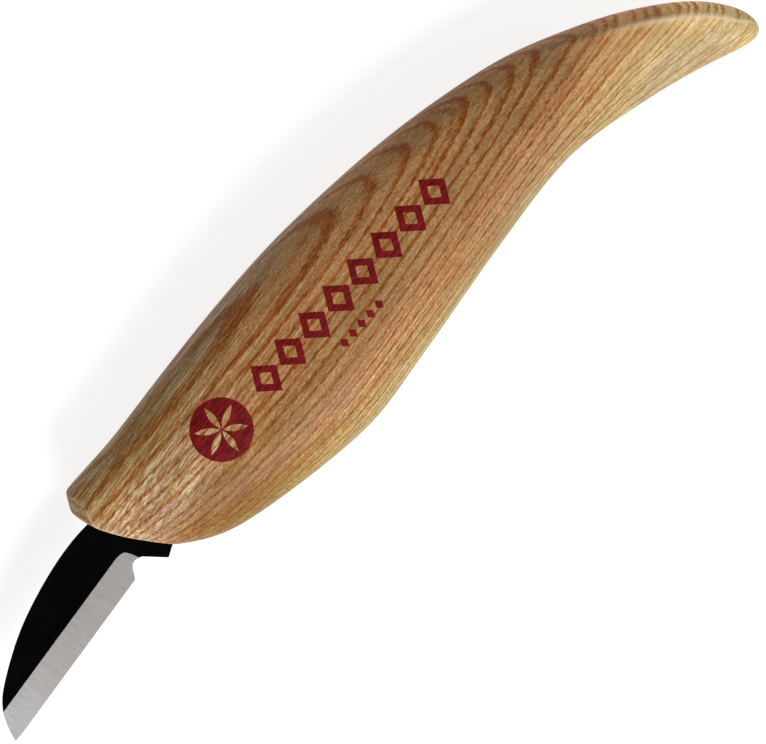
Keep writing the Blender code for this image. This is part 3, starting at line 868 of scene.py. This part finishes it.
def toned(graph, where, wood, radius, porous):
    """The wood with the tint of each stretch of the handle; some of the tints are painted light, shade and
    sheen.
    """
    nose_tint = graph.mix(graph.ranged(where.across, *NOSE_CHEEK_Y), NOSE_BELLY_TINT, NOSE_CHEEK_TINT)
    nose_tint = graph.mix(graph.ranged(where.across, *NOSE_SPINE_Y), nose_tint, NOSE_SPINE_TINT)
    growth = graph.math("SUBTRACT", radius, PITH_DISTANCE)
    middle = graph.product(
        graph.ranged(where.across, *MIDDLE_LOW_Y), graph.ranged(where.across, *MIDDLE_HIGH_Y, 1.0, 0.0),
        graph.ranged(where.along, *MIDDLE_X), graph.ranged(where.tail, 0.0, 1.0, 1.0, 0.0))
    arch_tint = graph.mix(graph.ranged(porous, 0.15, 0.75), BETWEEN_TINT, ARCH_TINT)
    arched = graph.product(graph.ranged(where.along, *ARCHED_X, 0.5, 1.0),
                           graph.ranged(where.across, *ARCHED_Y, 0.35, 1.0))
    tints = [
        (where.nose, nose_tint),
        # painted light and sheen on the belly side
        (graph.ranged(growth, *BELLY_LIGHT_GROWTH), BELLY_PAINTED_LIGHT),
        (middle, MIDDLE_TINT),
        (arched, arch_tint),
        # painted sheen along the spine
        (graph.ranged(where.across, *SPINE_SHEEN_Y), SPINE_PAINTED_SHEEN),
        # the tail's paler timber, with painted light and sheen
        (where.tail, TAIL_TONE_AND_LIGHT),
    ]
    # patches of tone, and of painted light, shade and sheen
    for centre, reach, tint in TONE_AND_LIGHT_PATCHES:
        off = graph.vector("SUBTRACT", where.place, (*centre, 0.0))
        off = graph.vector("DIVIDE", off, (*reach, PATCH_DEPTH))
        tints.append((graph.ranged(graph.vector("LENGTH", off), PATCH_CORE, 1.0, 1.0, 0.0), tint))
    for share, tint in tints:
        wood = graph.mix(share, wood, tint, "MULTIPLY")
    return wood


def lined(graph, where, wood, porous):
    """The wood with fine lines, with dark stripes across the tail's band, and with grit all over."""
    lines = graph.noise(where.place, LINES, detail=1.0)
    line_tint = graph.mix(graph.ranged(lines, 0.36, 0.64), LINE_DARK, LINE_PALE)
    share = graph.product(graph.ranged(where.across, *LINED_Y, 0.3, 1.0),
                          graph.ranged(where.along, *LINED_X, 1.0, 0.3))
    wood = graph.mix(share, wood, line_tint, "MULTIPLY")
    wood = graph.mix(graph.ranged(where.band, *ON_BAND), wood, BAND_TINT, "MULTIPLY")
    stripes = graph.product(graph.ranged(where.band, *ON_BAND, 0.0, 0.75), porous)
    wood = graph.mix(stripes, wood, BAND_DARK)
    grit = graph.noise(where.place, GRIT, detail=1.0)
    grit_tint = graph.mix(graph.ranged(grit, 0.3, 0.7, smooth=False), GRIT_DARK, GRIT_PALE)
    gritty = graph.product(graph.ranged(where.tail, 0.0, 0.7, 1.0, 0.35),
                           graph.ranged(where.nose, 0.0, 1.0, 1.0, 0.7))
    return graph.mix(gritty, wood, grit_tint, "MULTIPLY")


def ash_material():
    """Varnished ring-porous ash, with its rings, pores, fibres and tints, and a painted highlight along the
    nose's rim and the tail's creases.
    """
    graph = Graph("ash_wood")
    where = wood_places(graph)
    radius, rings = growth_rings(graph, where)
    porous = pore_rows(graph, where, rings)
    fibre = graph.noise(where.place, FIBRE, detail=3.0, roughness=0.65)
    gap = graph.cells(where.place, VESSELS)
    vessels = graph.product(graph.ranged(gap, 0.26, 0.5, 1.0, 0.0), graph.ranged(porous, 0.2, 0.6),
                            graph.ranged(where.tail, 0.0, 1.0, 1.0, 0.3))
    wood = bare_timber(graph, where, porous, fibre, vessels)
    wood = toned(graph, where, wood, radius, porous)
    wood = lined(graph, where, wood, porous)
    # painted highlight along the nose's rim and the tail's creases
    painted_highlight = graph.math("MULTIPLY", graph.attribute(PAINTED_HIGHLIGHT), HIGHLIGHT_WEIGHT, clamp=True)
    graph.set(Base_Color=graph.mix(painted_highlight, wood, HIGHLIGHT_COLOUR))
    graph.set(Coat_Weight=0.1, Coat_Roughness=0.3, Specular_IOR_Level=0.15)
    graph.set(Roughness=graph.ranged(fibre, 0.2, 0.8, 0.5, 0.68))
    height = graph.math("SUBTRACT", graph.product(fibre, 0.25), vessels)
    height = graph.math("SUBTRACT", height, graph.product(porous, 0.35))
    graph.bump(height, 0.03, 0.6)
    return graph.material


def oxide_material():
    """Black oxide, faintly clouded and rubbed along the blade."""
    graph = Graph("black_oxide_steel")
    place = graph.drawing_place()
    cloud = graph.noise(place, (6.0, 2.2), detail=4.0, roughness=0.6)
    grit = graph.noise(place, (0.12, 0.12))
    rub = graph.noise(place, (7.0, 0.12, 23.0))
    dark = graph.ramp(cloud, ((0.3, OXIDE_DARK), (0.75, OXIDE_PALE)))
    graph.set(Base_Color=graph.mix(graph.ranged(rub, 0.62, 0.8, 0.0, 0.25), dark, OXIDE_RUBBED))
    graph.set(Metallic=0.0, Specular_IOR_Level=0.02, Roughness=graph.ranged(cloud, 0.3, 0.7, 0.42, 0.6))
    graph.bump(graph.math("ADD", grit, graph.product(rub, 0.4)), 0.004, 0.5)
    return graph.material


def ground_material():
    """Bright steel with fine grinding lines that run from the flat down to the edge."""
    graph = Graph("ground_steel")
    place = graph.drawing_place()
    along, _, _ = graph.split(place)
    lines = graph.noise(place, (0.09, 2.4), detail=3.0, roughness=0.6)
    broad = graph.noise(place, (1.6, 9.0, 5.0))
    steel = graph.ramp(lines, ((0.25, STEEL_DARK), (0.75, STEEL_PALE)))
    steel = graph.mix(graph.ranged(broad, 0.35, 0.7, 0.0, 0.3), steel, STEEL_DULL)
    tint = graph.mix(graph.ranged(along, *TIP_TO_HEEL_X), TIP_TINT, HEEL_TINT)
    graph.set(Base_Color=graph.mix(1.0, steel, tint, "MULTIPLY"), Metallic=1.0, Anisotropic=0.3)
    graph.set(Roughness=graph.ranged(lines, 0.25, 0.75, 0.36, 0.42))
    graph.bump(lines, 0.001, 0.4)
    return graph.material


def epoxy_material():
    """Amber epoxy, clouded and with small bubbles."""
    graph = Graph("epoxy")
    place = graph.drawing_place()
    cloud = graph.noise(place, (1.4, 1.4))
    bubble = graph.cells(place, (0.5, 0.5))
    amber = graph.ramp(cloud, ((0.3, AMBER_DARK), (0.7, AMBER_PALE)))
    graph.set(Base_Color=graph.mix(graph.ranged(bubble, 0.1, 0.2, 0.35, 0.0), amber, AMBER_BUBBLE))
    graph.set(Roughness=0.25, Subsurface_Weight=0.15, Subsurface_Scale=0.4 * MM)
    graph.bump(cloud, 0.03, 0.5)
    return graph.material


def ink_material():
    """Dark red ink, thinner where it bridges the wood's fibres."""
    graph = Graph("print_ink")
    place = graph.drawing_place()
    fibre = graph.noise(place, (3.0, 0.3))
    thin = graph.noise(place, (0.5, 0.3))
    ink = graph.ramp(fibre, ((0.36, INK_DARK), (0.64, INK_PALE)))
    graph.set(Base_Color=graph.mix(graph.ranged(thin, 0.6, 0.8, 0.0, 0.2), ink, INK_THIN))
    graph.set(Roughness=0.55, Specular_IOR_Level=0.08)
    graph.bump(fibre, 0.01, 0.5)
    return graph.material


def floor_material():
    """A pale floor, lit from within so that shadows on it stay faint."""
    graph = Graph("pale_floor")
    place = graph.add("ShaderNodeTexCoord").outputs["Object"]
    mottle = graph.noise(place, (1.0, 1.0), detail=1.0)
    graph.set(Base_Color=graph.ramp(mottle, ((0.0, FLOOR_DARK), (1.0, FLOOR_PALE))), Roughness=0.9)
    graph.set(Specular_IOR_Level=0.1, Emission_Color=(1.0, 1.0, 1.0, 1.0), Emission_Strength=FLOOR_GLOW)
    return graph.material


# ---------------- printed mark


def ring_of(centre, radius, count):
    """Points round a circle."""
    return [(centre[0] + radius * math.cos(math.tau * k / count),
             centre[1] + radius * math.sin(math.tau * k / count)) for k in range(count)]


def petal(centre, angle):
    """A pointed leaf between the centre and a point on a circle round it, drawn as two equal arcs."""
    shares = [k / PETAL_STEPS for k in range(PETAL_STEPS + 1)]
    bulge = [(PETAL_FROM + (PETAL_LENGTH - PETAL_FROM) * share, PETAL_WIDTH * math.sin(math.pi * share))
             for share in shares]
    outline = bulge + [(along, -across) for along, across in bulge[-2:0:-1]]
    turned_x, turned_y = math.cos(angle), math.sin(angle)
    return [(centre[0] + a * turned_x - b * turned_y, centre[1] + a * turned_y + b * turned_x)
            for a, b in outline]


def lozenge(centre, half_width, half_height):
    """The corners of a lozenge: left, below, right and above."""
    x, y = centre
    return [(x - half_width, y), (x, y - half_height), (x + half_width, y), (x, y + half_height)]


def divide(shape):
    """Cuts a flat shape along a grid, so that it can bend."""
    for axis, normal in enumerate((Vector((1.0, 0.0, 0.0)), Vector((0.0, 1.0, 0.0)))):
        spots = [vert.co[axis] for vert in shape.verts]
        low, high = min(spots), max(spots)
        steps = max(2, round((high - low) / (PRINT_GRID * MM)))
        for k in range(1, steps):
            plane = normal * (low + (high - low) * k / steps)
            everything = shape.verts[:] + shape.edges[:] + shape.faces[:]
            bmesh.ops.bisect_plane(shape, geom=everything, plane_co=plane, plane_no=normal,
                                   dist=PRINT_CUT_SLACK)
    bmesh.ops.triangulate(shape, faces=shape.faces)


def decal(name, outlines, handle_tree):
    """A thin film of ink inside the outlines, laid on the handle's upper side."""
    film = filled(name, outlines, "FRONT")
    shape = bmesh.new()
    shape.from_mesh(film.data)
    divide(shape)
    for vert in shape.verts:
        above = to_row((vert.co.x / MM, vert.co.y / MM, ABOVE_HANDLE))
        hit, normal, _, _ = handle_tree.ray_cast(above, Vector((0.0, 0.0, -1.0)))
        vert.co = hit + normal * PRINT_LIFT * MM
    bmesh.ops.recalc_face_normals(shape, faces=shape.faces)
    shape.normal_update()
    if sum(face.normal.z for face in shape.faces) < 0.0:
        bmesh.ops.reverse_faces(shape, faces=shape.faces)
    shape.to_mesh(film.data)
    shape.free()
    thickness = film.modifiers.new("film", "SOLIDIFY")
    thickness.thickness = 2.0 * PRINT_LIFT * MM
    thickness.offset = -1.0
    apply_modifiers(film)
    film.data.shade_smooth()
    film.data.set_sharp_from_angle(angle=SHARP_ANGLE)
    return film


def print_line(x):
    """Height of the printed row's centre line at x."""
    return ROW_FROM[1] + (x - ROW_FROM[0]) * (ROW_TO[1] - ROW_FROM[1]) / (ROW_TO[0] - ROW_FROM[0])


def make_print(handle):
    """A round device with petals, a row of open lozenges and a row of dots."""
    shape = bmesh.new()
    shape.from_mesh(handle.data)
    tree = BVHTree.FromBMesh(shape)
    shape.free()
    turns = [math.radians(PETAL_TURN + 360.0 * k / PETAL_COUNT) for k in range(PETAL_COUNT)]
    petals = [petal(ROUNDEL, turn) for turn in turns]
    pieces = [decal("print_roundel", [ring_of(ROUNDEL, ROUNDEL_RADIUS, ROUNDEL_EDGES)] + petals, tree)]
    pitch = (ROW_TO[0] - ROW_FROM[0]) / ROW_COUNT
    half_width, half_height = pitch * ROW_FILL, ROW_HEIGHT / 2.0
    for k in range(ROW_COUNT):
        x = ROW_FROM[0] + pitch * (k + 0.5)
        centre = (x, print_line(x))
        outer = lozenge(centre, half_width, half_height)
        inner = lozenge(centre, half_width - ROW_STROKE, half_height * (1.0 - ROW_STROKE / half_width))
        pieces.append(decal(f"print_lozenge_{k + 1}", [outer, inner], tree))
    for k in range(DOT_COUNT):
        x = DOT_FROM + (DOT_TO - DOT_FROM) * k / (DOT_COUNT - 1)
        dot = lozenge((x, print_line(x) - DOT_DROP), DOT_HALF_WIDTH, DOT_HALF_WIDTH * DOT_STRETCH)
        pieces.append(decal(f"print_dot_{k + 1}", [dot], tree))
    return pieces


# ---------------- stage


def make_key_light():
    """One soft light, turned to the middle of the view."""
    light = bpy.data.lights.new("key", "AREA")
    light.shape = "RECTANGLE"
    light.size, light.size_y = KEY_SIZE
    light.energy = KEY_POWER
    made = link("key", light)
    target = to_row(VIEW_MIDDLE)
    made.location = target + Vector(KEY_DIRECTION).normalized() * KEY_DISTANCE
    made.rotation_euler = (target - made.location).to_track_quat("-Z", "Y").to_euler()


def make_world():
    """Plain white light from all sides."""
    world = bpy.data.worlds.new("studio")
    bpy.context.scene.world = world
    world.use_nodes = True
    background = world.node_tree.nodes["Background"]
    background.inputs["Color"].default_value = (1.0, 1.0, 1.0, 1.0)
    background.inputs["Strength"].default_value = WORLD_LIGHT


def make_camera():
    """A long lens straight above the knife, turned so that it lies from corner to corner."""
    camera = bpy.data.cameras.new("camera")
    camera.lens = LENS
    camera.clip_start = NEAREST_SEEN
    made = link("camera", camera)
    height = VIEW_WIDTH * MM * LENS / camera.sensor_width
    made.location = to_row(VIEW_MIDDLE) + Vector((0.0, 0.0, height))
    made.rotation_euler = (0.0, 0.0, math.radians(VIEW_TURN))
    bpy.context.scene.camera = made


def make_floor():
    """The floor that the knife lies on."""
    shape = bmesh.new()
    bmesh.ops.create_grid(shape, x_segments=1, y_segments=1, size=FLOOR_HALF)
    mesh = mesh_of(shape, "floor")
    mesh.materials.append(floor_material())
    link("floor", mesh)


def settle(piece, body):
    """Puts the piece's place in its mesh, so that its materials read the row frame, and rides it."""
    piece.data.transform(piece.matrix_world)
    piece.matrix_world = Matrix.Identity(4)
    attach(piece, body)


handle = make_handle()
handle.data.materials.append(ash_material())
blade = make_blade()
adhesive = make_adhesive()
adhesive.data.materials.append(epoxy_material())
prints = make_print(handle)
ink = ink_material()
for film in prints:
    film.data.materials.append(ink)
    settle(film, "root")
settle(handle, "root")
settle(blade, "root")
settle(adhesive, "root")
paint_blade(blade, oxide_material(), ground_material())
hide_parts("handle")
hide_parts("blade")
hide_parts("tang_adhesive")

make_floor()
make_world()
make_camera()
make_key_light()
bpy.context.scene.view_settings.view_transform = "Standard"
